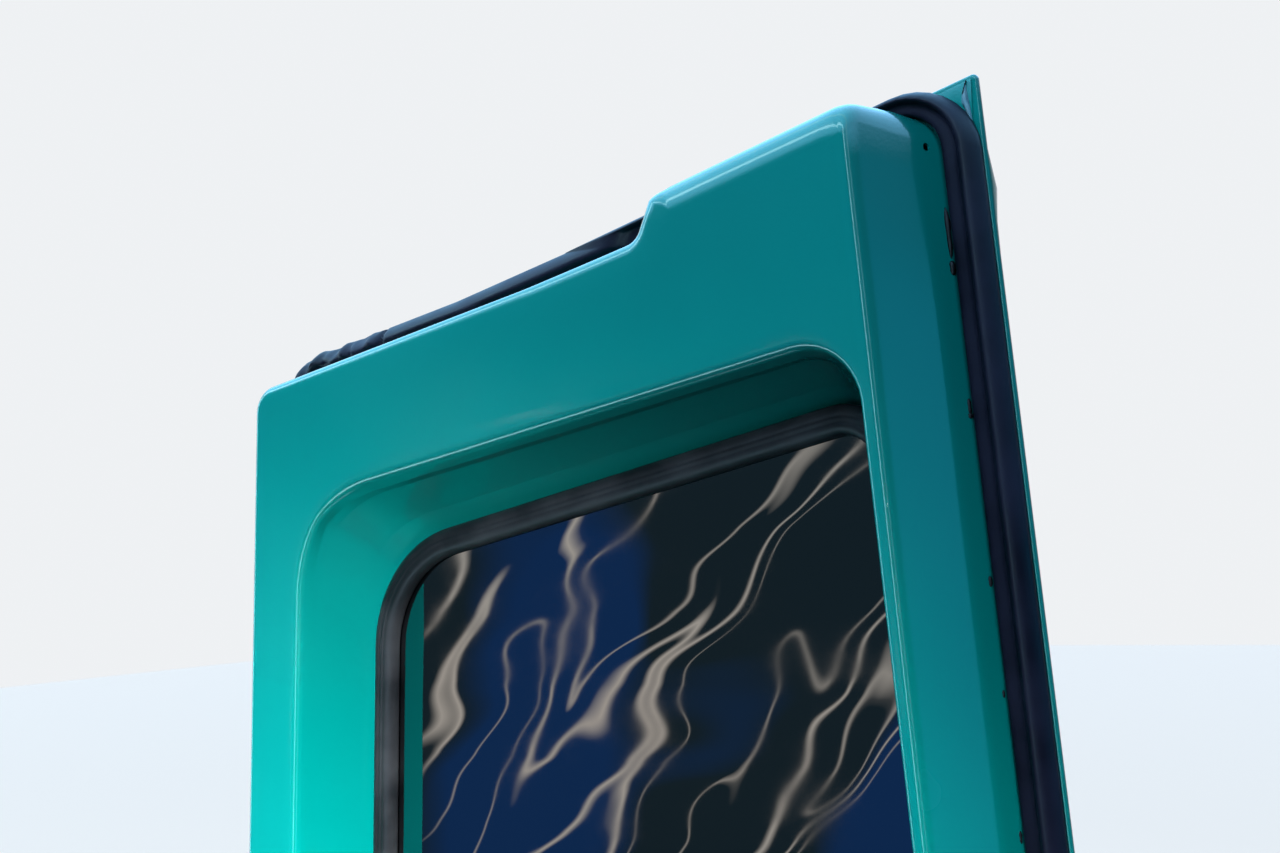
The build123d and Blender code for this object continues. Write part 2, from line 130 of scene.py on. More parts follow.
def outline(lines, radii, steps):
    """Points (x, z) round a closed outline of straight edges and round corners."""
    count = len(lines)
    corners = [crossing(lines[i], lines[(i + 1) % count]) for i in range(count)]
    reach = [abs(radii[i] * tan(radians(turn_at(lines, i)) / 2)) for i in range(count)]
    points = []
    for i in range(count):
        heading = lines[i][1]
        on_edge, on_corner = steps[i]
        start = Vector(along(corners[i - 1], heading, reach[i - 1]))
        end = Vector(along(corners[i], heading, -reach[i]))
        points += [start.lerp(end, k / on_edge).to_tuple() for k in range(on_edge)]
        side = 90.0 if turn_at(lines, i) > 0 else -90.0
        centre = along(end, heading + side, radii[i])
        points += [along(centre, heading + turn_at(lines, i) * k / on_corner - side, radii[i])
                   for k in range(on_corner)]
    return points


def grown(lines, radii, inset):
    """Corner radii of an outline that is moved inwards: outer corners shrink and inner ones widen."""
    return [0.0 if radius == 0 else max(radius - inset if turn_at(lines, i) > 0 else radius + inset, 0.0005)
            for i, radius in enumerate(radii)]


def door_outline(column, inset=0.0, latch_inset=None):
    """The door's outline at one column of its table, moved inwards. The latch edge may have its own inset."""
    lines = []
    for name, point, heading, insets, *_ in door_edges:
        moved = latch_inset if name == "latch" and latch_inset is not None else inset
        lines.append((along(point, heading + 90.0, insets[column] * mm + moved), heading))
    if column in (SKIN, SEAL):
        # these two have no riser: its line only passes through the point where its neighbours meet
        lines[2] = (crossing(lines[1], lines[3]), lines[2][1])
    radii = grown(lines, [row[4][column] * mm for row in door_edges], inset)
    return outline(lines, radii, [row[-2:] for row in door_edges])


def loop_at(points, y):
    """An outline of (x, z) points as a loop in the door's space, at one depth or at one for each point."""
    depths = y if isinstance(y, list) else [y] * len(points)
    return [Vector((x, depth, z)) for (x, z), depth in zip(points, depths)]


def rounded(guides, radii, steps=6):
    """Turns guide loops into a smooth run of loops: each inner guide becomes an arc across the loops."""
    # an arc takes up at most nearly all of an end stretch, and nearly half of a stretch that it shares
    whole = 0.98
    shared = 0.48
    loops = [guides[0]]
    for j in range(1, len(guides) - 1):
        fan = [[] for _ in range(steps + 1)]
        for k, corner in enumerate(guides[j]):
            radius = radii[j - 1][k] if isinstance(radii[j - 1], list) else radii[j - 1]
            before = guides[j - 1][k] - corner
            after = guides[j + 1][k] - corner
            room = min(before.length * (whole if j == 1 else shared),
                       after.length * (whole if j == len(guides) - 2 else shared))
            if room < 1e-6 or radius == 0 or before.angle(after) > pi - 0.01:
                for ring in fan:
                    ring.append(corner.copy())
                continue
            half = before.angle(after) / 2
            reach = min(radius / tan(half), room)
            first = corner + before.normalized() * reach
            last = corner + after.normalized() * reach
            pull = sin(half)
            for s, ring in enumerate(fan):
                t = s / steps
                share = [(1 - t) ** 2, 2 * pull * t * (1 - t), t * t]
                ring.append((first * share[0] + corner * share[1] + last * share[2]) / sum(share))
        loops += fan
    return loops + [guides[-1]]


def join_loops(bm, loops, closed_across=False):
    """Skins a run of closed loops with quads, and gives back the vertices of each loop."""
    rings = [[bm.verts.new(point) for point in loop] for loop in loops]
    pairs = list(zip(rings, rings[1:]))
    if closed_across:
        pairs.append((rings[-1], rings[0]))
    for first, second in pairs:
        for k in range(len(first)):
            bm.faces.new((first[k - 1], first[k], second[k], second[k - 1]))
    return rings


def inside(point, polygon):
    """Whether a point (x, z) lies inside a closed outline."""
    x, z = point
    crossed = False
    for (ax, az), (bx, bz) in zip(polygon, polygon[1:] + polygon[:1]):
        if (az > z) != (bz > z) and x < ax + (z - az) * (bx - ax) / (bz - az):
            crossed = not crossed
    return crossed


def flat_fill(bm, outer, holes=(), free_points=()):
    """Fills the flat area between rows of vertices, through free points (x, z) where it bends later."""
    rows = [outer, *holes]
    verts = [v for row in rows for v in row]
    edges = []
    start = 0
    for row in rows:
        edges += [(start + k, start + (k + 1) % len(row)) for k in range(len(row))]
        start += len(row)
    y = verts[0].co.y
    verts += [bm.verts.new((x, y, z)) for x, z in free_points]
    flat = [Vector((v.co.x, v.co.z)) for v in verts]
    hole_outlines = [[(v.co.x, v.co.z) for v in hole] for hole in holes]
    places, _, triangles, origins, _, _ = delaunay_2d_cdt(flat, edges, [], 1, 1e-7)
    for triangle in triangles:
        centre = sum((places[i] for i in triangle), Vector((0.0, 0.0))) / 3
        corners = [verts[origins[i][0]] for i in triangle]
        if len(set(corners)) == 3 and not any(inside(centre, hole) for hole in hole_outlines):
            bm.faces.new(corners)


def crisp_edges(piece, degrees):
    """Keeps the edges sharper than an angle crisp on a smoothly shaded piece."""
    piece.modifiers.new("crisp_edge", "EDGE_SPLIT").split_angle = radians(degrees)


def finish_mesh(name, bm, facing, thickness=0.0):
    """Writes a mesh: its largest face looks the given way, and a sheet gets its thickness behind it."""
    bmesh.ops.remove_doubles(bm, verts=bm.verts, dist=2e-6)
    bmesh.ops.dissolve_degenerate(bm, dist=1e-7, edges=bm.edges)
    bmesh.ops.delete(bm, geom=[v for v in bm.verts if not v.link_faces], context="VERTS")
    bmesh.ops.recalc_face_normals(bm, faces=bm.faces)
    bm.faces.ensure_lookup_table()
    if max(bm.faces, key=lambda f: f.calc_area()).normal.dot(Vector(facing)) < 0:
        bmesh.ops.reverse_faces(bm, faces=bm.faces)
    mesh = bpy.data.meshes.new(name)
    bm.to_mesh(mesh)
    bm.free()
    mesh.shade_smooth()
    piece = bpy.data.objects.new(name, mesh)
    bpy.context.scene.collection.objects.link(piece)
    if thickness:
        solid = piece.modifiers.new("sheet", "SOLIDIFY")
        solid.thickness = thickness
        solid.offset = -1.0
    return piece


def node_material(name, base, roughness, metallic=0.0):
    """A material with its nodes, and the coordinates that its patterns are laid out in, in metres."""
    material = bpy.data.materials.new(name)
    material.use_nodes = True
    tree = material.node_tree
    shader = tree.nodes["Principled BSDF"]
    shader.inputs["Base Color"].default_value = (*base, 1.0)
    shader.inputs["Roughness"].default_value = roughness
    shader.inputs["Metallic"].default_value = metallic
    place = tree.nodes.new("ShaderNodeTexCoord").outputs["Object"]
    return material, tree, shader, place


def grain(tree, place, scale, detail=3.0, stretch=None, distortion=0.0):
    """An even noise pattern with its number of features a metre."""
    if stretch:
        mapping = tree.nodes.new("ShaderNodeMapping")
        mapping.inputs["Scale"].default_value = stretch
        tree.links.new(place, mapping.inputs["Vector"])
        place = mapping.outputs["Vector"]
    pattern = tree.nodes.new("ShaderNodeTexNoise")
    pattern.inputs["Scale"].default_value = scale
    pattern.inputs["Detail"].default_value = detail
    pattern.inputs["Distortion"].default_value = distortion
    tree.links.new(place, pattern.inputs["Vector"])
    return pattern.outputs["Fac"]


def ramp(tree, source, *stops):
    """Maps a pattern onto tones: each stop is a place from 0 to 1 and a colour."""
    mapped = tree.nodes.new("ShaderNodeValToRGB")
    tones = mapped.color_ramp
    while len(tones.elements) < len(stops):
        tones.elements.new(0.5)
    for element, (position, tone) in zip(tones.elements, stops):
        element.position = position
        element.color = (*tone, 1.0) if isinstance(tone, tuple) else (tone, tone, tone, 1.0)
    tree.links.new(source, mapped.inputs["Fac"])
    return mapped.outputs["Color"]


def raise_by(tree, shader, source, height, after=None):
    """Adds a bump of one height in metres to a shader, on top of an earlier bump."""
    bump = tree.nodes.new("ShaderNodeBump")
    bump.inputs["Strength"].default_value = 1.0
    bump.inputs["Distance"].default_value = height
    tree.links.new(source, bump.inputs["Height"])
    if after:
        tree.links.new(after, bump.inputs["Normal"])
    tree.links.new(bump.outputs["Normal"], shader.inputs["Normal"])
    return bump.outputs["Normal"]


def gloss_enamel():
    """Door enamel: teal-green under clear gloss, with fine orange peel, faint waves and a film of dust."""
    material, tree, shader, place = node_material("gloss_teal_enamel", enamel_teal, 0.3)
    cloud = grain(tree, place, 3.2, detail=4.0)
    body = ramp(tree, cloud, (0.34, enamel_deep), (0.52, enamel_teal), (0.70, enamel_dusty))
    tree.links.new(body, shader.inputs["Base Color"])
    film = ramp(tree, grain(tree, place, 9.0, detail=3.0), (0.20, 0.23), (0.80, 0.28))
    tree.links.new(film, shader.inputs["Roughness"])
    shader.inputs["Specular IOR Level"].default_value = 0.2
    shader.inputs["Coat Weight"].default_value = 0.8
    shader.inputs["Coat Roughness"].default_value = 0.035
    waves = raise_by(tree, shader, grain(tree, place, 6.0, detail=0.0, distortion=0.4), 0.0012)
    peel = raise_by(tree, shader, grain(tree, place, 520.0, detail=1.0), 0.000035, waves)
    tree.links.new(peel, shader.inputs["Coat Normal"])
    return material


enamel = gloss_enamel()

MOUTH, GLAZED = range(2)
window_edges = [
    # edge, then its heading, a point on it and the radius of the corner at its end, first at the mouth and
    # then at the glass, points on the edge, points on the corner
    ("latch", ((90.0 + 3.4, (0.474, 0.740), 0.032), (90.0 + lean, (0.469, 0.740), 0.036)), 22, 10),
    ("top", ((180.0 + 8.4, (0.310, 0.845), 0.075), (180.0 + 10.5, (0.2658, 0.8088), 0.085)), 20, 24),
    ("hinge", ((270.0 - lean, (0.050, 0.740), 0.055), (270.0 - lean, (0.067, 0.740), 0.062)), 16, 10),
    ("bottom", ((360.0 + lean, (0.310, 0.480), 0.050), (360.0 + lean, (0.310, 0.497), 0.058)), 22, 10),
]


def window_outline(column, inset=0.0, latch_inset=None):
    """The window's outline at its mouth or the glass, set inwards. The latch edge may have its own inset."""
    lines = []
    for name, stretches, *_ in window_edges:
        heading, point, _ = stretches[column]
        moved = latch_inset if name == "latch" and latch_inset is not None else inset
        lines.append((along(point, heading + 90.0, moved), heading))
    radii = grown(lines, [row[1][column][2] for row in window_edges], inset)
    return outline(lines, radii, [row[-2:] for row in window_edges])


def circle(x, z, radius, count=32):
    """A round outline of (x, z) points."""
    return [(x + radius * cos(2 * pi * k / count), z + radius * sin(2 * pi * k / count))
            for k in range(count)]


rose_bore = 0.008
handle_z = 0.320
handle_from_latch_edge = 0.092
handle_x = crossing((latch_foot, 90.0 + lean), ((0.0, handle_z), 0.0))[0] - handle_from_latch_edge

bead_heading = 180.0 + top_low_slope
bead_start = along(along(tip, 270.0, bead_drop), bead_heading, -bead_height)
bead_end_reach = (tip[0] - belt_point[0]) - bead_hinge_end + 2 * bead_height


def bead_rise(x, z):
    """How far the bead stands out of the skin at a place, with a round crown and soft feet."""
    dx = x - bead_start[0]
    dz = z - bead_start[1]
    reach = dx * cos(radians(bead_heading)) + dz * sin(radians(bead_heading))
    across = abs(-dx * sin(radians(bead_heading)) + dz * cos(radians(bead_heading)))
    fade = min(max((bead_end_reach - reach) / bead_height, 0.0), 1.0)
    crown = min(max(bead_crown * (1.0 - across / (bead_height / 2)), 0.0), 1.0)
    return bead_proud * (3 * crown ** 2 - 2 * crown ** 3) * (3 * fade ** 2 - 2 * fade ** 3)


skin_bm = bmesh.new()
skin_rings = join_loops(skin_bm, rounded([
    loop_at(door_outline(SKIN, skin_border), skin_y),
    loop_at(door_outline(SKIN), skin_y),
    loop_at(door_outline(SKIN), hem_y),
    loop_at(door_outline(SKIN, hem_return), hem_y),
    loop_at(door_outline(SKIN, hem_return), hem_y + sheet),
], [hem_round, hem_round, hem_crease], steps=5))
skin_hole = join_loops(skin_bm, [loop_at(window_outline(GLAZED, pinch_flange), skin_y)])[0]
spindle_hole = join_loops(skin_bm, [loop_at(circle(handle_x, handle_z, rose_bore), skin_y)])[0]
clear_of_edges = 0.003
skin_limit = door_outline(SKIN, skin_border + clear_of_edges)
skin_window = window_outline(GLAZED, pinch_flange - clear_of_edges)
bead_points = []
for row in range(bead_rows):
    for column in range(bead_columns):
        on_bead = along(bead_start, bead_heading, column * bead_column_gap)
        on_row = along(on_bead, bead_heading + 90.0, (row - bead_rows // 2) * bead_height / (bead_rows - 1))
        if inside(on_row, skin_limit) and not inside(on_row, skin_window):
            bead_points.append(on_row)
flat_fill(skin_bm, skin_rings[0], [skin_hole, spindle_hole], bead_points)
for vert in skin_bm.verts:
    share = max((vert.co.y - hem_y) / (skin_y - hem_y), 0.0)
    vert.co.y += share * bead_rise(vert.co.x, vert.co.z)
outer_skin = finish_mesh("door_outer_skin", skin_bm, (0, 1, 0), thickness=sheet)
crisp_edges(outer_skin, 48)
outer_skin.data.materials.append(enamel)
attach(outer_skin, "door")
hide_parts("outer_skin")

# Inner panel: one deep pressing with sloping walls, a stepped top and a wide funnel round the window. Its
# outer flange lies inside the skin's folded edge, and its inner flange is pinched with the skin under the
# window rubber. The same enamel covers it. The wall on the latch side has a slight crease along it.
face_y = skin_y - 0.065
fit_gap = 0.0002
wall_crease = 0.0024
wall_crease_share = 0.31
wall_crease_round = 0.060
wall_crease_begins = (0.42, 0.52)
wall_crease_ends = (0.87, 0.955)
top_bulge = 0.0028
foot_round = 0.003
face_border = 0.022
face_border_latch = 0.004
reveal_border = 0.013
reveal_border_latch = 0.0038
reveal_step = 0.0017
reveal_crease = 0.0065
reveal_crease_points = 11
reveal_crease_heading = radians(138.5)
cover_x = 0.250
cover_z = 0.110
cover_width = 0.330
cover_height = 0.250
cover_corner = 0.024
cover_overlap = 0.014


def blended(first, second, share):
    """A loop between two loops."""
    return [a.lerp(b, share) for a, b in zip(first, second)]


def round_the(edges, **at_edge):
    """One value for each point of an outline, even along each edge and blended round its corners."""
    values = [at_edge.get(row[0], at_edge["others"]) for row in edges]
    result = []
    for i, row in enumerate(edges):
        on_edge, on_corner = row[-2:]
        following = values[(i + 1) % len(values)]
        result += [values[i]] * on_edge
        result += [values[i] + (following - values[i]) * k / on_corner for k in range(on_corner)]
    return result


def ease(value, low, high):
    """A soft step from 0 at low to 1 at high."""
    t = min(max((value - low) / (high - low), 0.0), 1.0)
    return t * t * (3 - 2 * t)


def round_rectangle(x, z, width, height, radius, on_edge=6, on_corner=6):
    """A rectangle with round corners as (x, z) points."""
    lines = [((x + width / 2, z), 90.0), ((x, z + height / 2), 180.0),
             ((x - width / 2, z), 270.0), ((x, z - height / 2), 360.0)]
    return outline(lines, [radius] * 4, [(on_edge, on_corner)] * 4)


wall_foot = loop_at(door_outline(FOOT), flange_y)
wall_edge = loop_at(door_outline(FACE), face_y)
wall_middle = blended(wall_foot, wall_edge, wall_crease_share)
crease_at = round_the(door_edges, latch=1.0, others=0.0)
bulge_at = round_the(door_edges, top_high=1.0, others=0.0)
for k, point in enumerate(wall_middle):
    fade = crease_at[k] * ease(point.z, *wall_crease_begins) * (1 - ease(point.z, *wall_crease_ends))
    point.x += wall_crease * fade
    point.z += top_bulge * bulge_at[k]
wall_rounds = round_the(door_edges, latch=0.0085, top_high=0.0240, riser=0.0100, top_low=0.0085,
                        top_end=0.0080, others=0.006)
panel_bm = bmesh.new()
panel_rings = join_loops(panel_bm, rounded([
    loop_at(door_outline(SKIN, sheet + fit_gap), flange_y),
    wall_foot,
    wall_middle,
    wall_edge,
    loop_at(door_outline(FACE, face_border, latch_inset=face_border_latch), face_y),
], [foot_round, wall_crease_round, wall_rounds], steps=7))
reveal_mouth = loop_at(window_outline(MOUTH), face_y)
reveal_foot = loop_at(window_outline(GLAZED), flange_y)
mouth_rounds = round_the(window_edges, latch=0.0045, others=0.0090)
step_at = round_the(window_edges, top=reveal_step, others=0.0)
top_corner = sum(sum(row[-2:]) for row in window_edges[:2]) - window_edges[1][-1] / 2


def down_the_reveal(share, past_step):
    """A loop down the funnel, which steps up along its top and is drawn out to a crease at one corner."""
    loop = blended(reveal_mouth, reveal_foot, share)
    for k, point in enumerate(loop):
        nearness = max(1.0 - abs(k - top_corner) / reveal_crease_points, 0.0)
        pull = reveal_crease * (1.0 - share) * nearness ** 1.6
        point.x += pull * cos(reveal_crease_heading)
        point.z += pull * sin(reveal_crease_heading) + step_at[k] * past_step
    return loop


reveal_rings = join_loops(panel_bm, rounded([
    loop_at(window_outline(MOUTH, -reveal_border, latch_inset=-reveal_border_latch), face_y),
    reveal_mouth,
    down_the_reveal(0.17, 0.0),
    down_the_reveal(0.26, 1.0),
    down_the_reveal(0.72, 1.0),
    reveal_foot,
    loop_at(window_outline(GLAZED, pinch_flange), flange_y),
], [mouth_rounds, 0.0060, 0.0050, 0.020, foot_round], steps=7))
service_ring = join_loops(panel_bm, [loop_at(round_rectangle(
    cover_x, cover_z, cover_width - 2 * cover_overlap, cover_height - 2 * cover_overlap,
    cover_corner - cover_overlap / 2), face_y)])[0]
bore_ring = join_loops(panel_bm, [loop_at(circle(handle_x, handle_z, rose_bore), face_y)])[0]
flat_fill(panel_bm, panel_rings[-1], [reveal_rings[0], service_ring, bore_ring])
inner_panel = finish_mesh("door_inner_panel", panel_bm, (0, -1, 0), thickness=sheet)

latch_insets = door_edges[0][3]
wall_up = Vector((cos(radians(90.0 + lean)), 0.0, sin(radians(90.0 + lean))))
wall_in = Vector((cos(radians(180.0 + lean)), 0.0, sin(radians(180.0 + lean))))
wall_rise = wall_in * (latch_insets[FACE] - latch_insets[FOOT]) * mm + Vector((0.0, face_y - flange_y, 0.0))
wall_normal = wall_up.cross(wall_rise).normalized()
bolt_y = face_y + 0.036
bolt_width = 0.012
bolt_height = 0.020
bolt_gap = 0.0005
bolt_slot_depth = 0.06
buffer_z = 0.9705
buffer_share = 0.20
buffer_hole = 2.3
buffer_hole_depth = 6.0


def on_latch_wall(z, share):
    """The point of the sloping latch wall at a height, a share of the way from its foot to the face."""
    edge = crossing((latch_foot, 90.0 + lean), ((0.0, z), 0.0))
    start = Vector((edge[0], flange_y, z)) + wall_in * latch_insets[FOOT] * mm
    return start + wall_rise * share


def turned(bm, centre, direction, rows, count=24):
    """A turned solid on an axis: each row gives radius and height in mm, and its number of flats if any."""
    side = direction.orthogonal().normalized()
    other = direction.cross(side)
    loops = []
    for radius, height, flats in rows:
        ring = []
        for k in range(count):
            angle = 2 * pi * k / count
            part = 2 * pi / flats if flats else 0.0
            reach = radius * cos(part / 2) / cos(angle % part - part / 2) if flats else radius
            ring.append(centre + direction * height * mm
                        + (side * cos(angle) + other * sin(angle)) * reach * mm)
        loops.append(ring)
    rings = join_loops(bm, loops)
    bm.faces.new(rings[0])
    bm.faces.new(rings[-1])


cutter_bm = bmesh.new()
turned(cutter_bm, on_latch_wall(buffer_z, buffer_share), wall_normal,
       [(buffer_hole, -buffer_hole_depth, 0), (buffer_hole, buffer_hole_depth, 0)])
slot_middle = on_latch_wall(handle_z, (flange_y - bolt_y) / (flange_y - face_y))
slot_matrix = Matrix.Translation(slot_middle) @ Matrix.Diagonal(
    (bolt_slot_depth, bolt_width + 2 * bolt_gap, bolt_height + 2 * bolt_gap, 1.0))
bmesh.ops.create_cube(cutter_bm, size=1.0, matrix=slot_matrix)
cutter = finish_mesh("panel_cutter", cutter_bm, (1, 0, 0))
cut = inner_panel.modifiers.new("openings", "BOOLEAN")
cut.object = cutter
cut.solver = "EXACT"
pressed = bpy.data.meshes.new_from_object(inner_panel.evaluated_get(bpy.context.evaluated_depsgraph_get()))
inner_panel.modifiers.clear()
inner_panel.data = pressed
crisp_edges(inner_panel, 48)
bpy.data.objects.remove(cutter)
inner_panel.data.materials.append(enamel)
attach(inner_panel, "door")
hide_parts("inner_panel")

# Window glass: one pane of very dark tinted safety glass, ground round its edge. It is held all round in
# the rubber, so only its middle shows. It is not perfectly flat, which bends what it reflects.
glass_thickness = 0.0045
gasket_web = 0.003
glass_inset = pinch_flange + gasket_web + fit_gap
glass_middle_y = (flange_y + skin_y) / 2
glass_bevel = 0.0006


def tinted_glass():
    """Privacy glass with a dark mirror film: it shows a dim, wavy reflection and nothing behind it."""
    material, tree, shader, place = node_material("dark_tinted_glass", (0.20, 0.21, 0.23), 0.02, 1.0)
    tint = ramp(tree, grain(tree, place, 4.0, detail=2.0),
                (0.3, (0.19, 0.21, 0.23)), (0.8, (0.23, 0.23, 0.24)))
    tree.links.new(tint, shader.inputs["Base Color"])
    film = ramp(tree, grain(tree, place, 14.0, detail=5.0), (0.45, 0.01), (0.85, 0.07))
    tree.links.new(film, shader.inputs["Roughness"])
    raise_by(tree, shader, grain(tree, place, 5.0, detail=1.0, stretch=(1.0, 1.0, 2.2)), 0.0016)
    return material


glass_bm = bmesh.new()
pane_front = glass_middle_y - glass_thickness / 2
pane_back = glass_middle_y + glass_thickness / 2
pane_rings = join_loops(glass_bm, [
    loop_at(window_outline(GLAZED, glass_inset + glass_bevel), pane_front),
    loop_at(window_outline(GLAZED, glass_inset), pane_front + glass_bevel),
    loop_at(window_outline(GLAZED, glass_inset), pane_back - glass_bevel),
    loop_at(window_outline(GLAZED, glass_inset + glass_bevel), pane_back),
])
flat_fill(glass_bm, pane_rings[0])
flat_fill(glass_bm, pane_rings[-1])
pane = finish_mesh("door_window_pane", glass_bm, (0, -1, 0))
crisp_edges(pane, 30)
pane.data.materials.append(tinted_glass())
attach(pane, "door")
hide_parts("window_glass")

# Window rubber: one extruded black section pushed over the pinched flanges, which grips the glass in its
# own groove. Its broad inside face has fine grooves along it and a rolled lip on the glass.
gasket_profile = [
    # set in from the reveal's foot in mm, and height over the flange in mm, from the outer foot over the
    # broad face to the lip on the glass, and back under it to the glass's edge
    (0.2, 0.3), (0.2, 5.6), (0.9, 7.6), (2.4, 8.9), (4.4, 9.6), (6.2, 9.8), (6.9, 9.1), (7.6, 9.9),
    (9.6, 9.9), (10.2, 9.3), (10.9, 9.9), (13.0, 9.6), (15.0, 8.6), (16.5, 7.0), (17.3, 5.0), (17.7, 3.0),
    (17.9, 1.4), (17.6, 0.9), (11.4, 0.9),
]
gasket_outside = [
    # the same on the outside of the glass, with heights over the outer skin
    (11.4, -0.9), (17.6, -0.9), (18.0, 1.2), (17.4, 3.2), (16.0, 4.4), (13.0, 4.9), (8.0, 5.0), (3.2, 4.6),
    (1.0, 3.2), (0.2, 1.6), (0.1, 0.3), (8.1, 0.3),
]


def moulded_rubber(name, tone, worn, speckle):
    """Weathered rubber: nearly black, a little greyer where it is worn, with a fine skin."""
    material, tree, shader, place = node_material(name, tone, 0.5)
    wear = grain(tree, place, 26.0, detail=7.0)
    tree.links.new(ramp(tree, wear, (0.38, tone), (0.72, worn)), shader.inputs["Base Color"])
    tree.links.new(ramp(tree, wear, (0.30, 0.34), (0.75, 0.60)), shader.inputs["Roughness"])
    shader.inputs["Specular IOR Level"].default_value = 0.22
    raise_by(tree, shader, grain(tree, place, speckle, detail=3.0), 0.00006)
    return material


gasket_bm = bmesh.new()
inside_loops = [loop_at(window_outline(GLAZED, inset * mm), flange_y - height * mm)
                for inset, height in gasket_profile]
outside_loops = [loop_at(window_outline(GLAZED, inset * mm), skin_y + height * mm)
                 for inset, height in gasket_outside]
bridge = [loop_at(window_outline(GLAZED, pinch_flange + fit_gap), flange_y - 0.3 * mm)]
join_loops(gasket_bm, inside_loops + outside_loops + bridge, closed_across=True)
window_rubber = finish_mesh("window_rubber_surround", gasket_bm, (0, -1, 0))
gasket_rubber = moulded_rubber("weathered_window_rubber", (0.010, 0.011, 0.014), (0.040, 0.042, 0.050),
                               900.0)
window_rubber.data.materials.append(gasket_rubber)
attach(window_rubber, "door")
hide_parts("window_gasket")

# Weatherstrip: a black sponge rubber section glued round the edge of the door, over the folded edge. It has
# a flat inner half next to the wall and a raised outer half that does the sealing. Its ends are butted near
# the top corner on the hinge side, where the last stretch has buckled.
butt_x = 0.0835
butt_width = 0.0016
butt_depth = 0.55
buckled_x = (0.076, 0.084)
buckled_z = (0.80, 0.86)
buckle_swell = 0.55
buckle_lift = 1.6
buckle_shift = 0.0028
seal_overlap = 0.0008
seal_base = 0.3
seal_profile = [
    # share of the way from the outer edge to the wall, height over the folded edge in mm
    (0.00, seal_base), (0.00, 3.0), (0.02, 4.6), (0.07, 6.2), (0.14, 8.2), (0.24, 10.4), (0.34, 11.8),
    (0.41, 12.0), (0.47, 11.4), (0.51, 9.8), (0.54, 8.2), (0.58, 7.6), (0.68, 7.4), (0.80, 7.3), (0.90, 7.2),
    (0.96, 6.7), (0.985, 5.6), (1.0, 3.6), (1.0, seal_base), (0.5, seal_base),
]
seal_outer = loop_at(door_outline(SEAL), hem_y)
seal_inner = loop_at(door_outline(FOOT, -seal_overlap), hem_y)
seal_bm = bmesh.new()
seal_loops = []
for share, height in seal_profile:
    ring = blended(seal_outer, seal_inner, share)
    for point in ring:
        loose = (1.0 - ease(point.x, *buckled_x)) * ease(point.z, *buckled_z)
        butt = exp(-((point.x - butt_x) / butt_width) ** 2) * ease(point.z, *buckled_z)
        fold = noise.noise(Vector((point.x * 120.0, share * 1.4, 3.0)))
        twist = noise.noise(Vector((point.x * 75.0, share * 0.8, 9.0)))
        height_here = height * (1.0 - butt_depth * butt) * (1.0 + buckle_swell * loose * fold)
        point.y = hem_y - max(height_here + buckle_lift * loose * share, seal_base) * mm
        point.z += buckle_shift * loose * twist * min(height / 6.0, 1.0)
    seal_loops.append(ring)
join_loops(seal_bm, seal_loops, closed_across=True)
edge_seal = finish_mesh("edge_weatherstrip", seal_bm, (0, -1, 0))
sponge_rubber = moulded_rubber("sponge_seal_rubber", (0.004, 0.0035, 0.010), (0.011, 0.010, 0.024), 700.0)
edge_seal.data.materials.append(sponge_rubber)
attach(edge_seal, "door")
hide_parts("weatherstrip")

# Corner and glue: a small gusset fills the folded edge at the sharp top corner, with grey seam sealer
# cracked beside it. Black adhesive has squeezed out between the seal and the latch wall in a few places.
gusset_proud = 0.0005
gusset_along_top = 0.052
gusset_down_side = 0.050
gusset_depth = 0.020
gusset_tip_inset = 0.0045
gusset_top_inset = 0.0035
gusset_side_inset = 0.0065
sealer_tone = (0.105, 0.250, 0.330)


def smeared(bm, path, across, proud, count=12):
    """A squeezed line of paste: each point of its path has a half width and a height in mm."""
    loops = []
    for centre, half_width, height in path:
        ring = []
        for k in range(count):
            angle = 2 * pi * k / count
            ring.append(centre + across * cos(angle) * half_width * mm + proud * sin(angle) * height * mm)
        loops.append(ring)
    rings = join_loops(bm, loops)
    bm.faces.new(rings[0])
    bm.faces.new(rings[-1])


gusset_bm = bmesh.new()
top_end = along(tip, 180.0 + top_high_slope, gusset_along_top)
side_end = along(tip, 270.0 + lean, gusset_down_side)
gusset_outline = [along(tip, 225.0, gusset_tip_inset), along(top_end, 270.0, gusset_top_inset),
                  along(top_end, 270.0, gusset_depth), along(side_end, 180.0, gusset_side_inset)]
gusset_rings = join_loops(gusset_bm, [
    loop_at(gusset_outline, hem_y + sheet),
    loop_at(gusset_outline, hem_y - gusset_proud * 0.5),
    loop_at([(x * 0.96 + 0.04 * gusset_outline[3][0], z * 0.96 + 0.04 * gusset_outline[2][1])
             for x, z in gusset_outline], hem_y - gusset_proud),
])
flat_fill(gusset_bm, gusset_rings[0])
flat_fill(gusset_bm, gusset_rings[-1])
gusset = finish_mesh("top_corner_gusset", gusset_bm, (0, -1, 0))
crisp_edges(gusset, 30)
gusset.data.materials.append(enamel)
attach(gusset, "door")

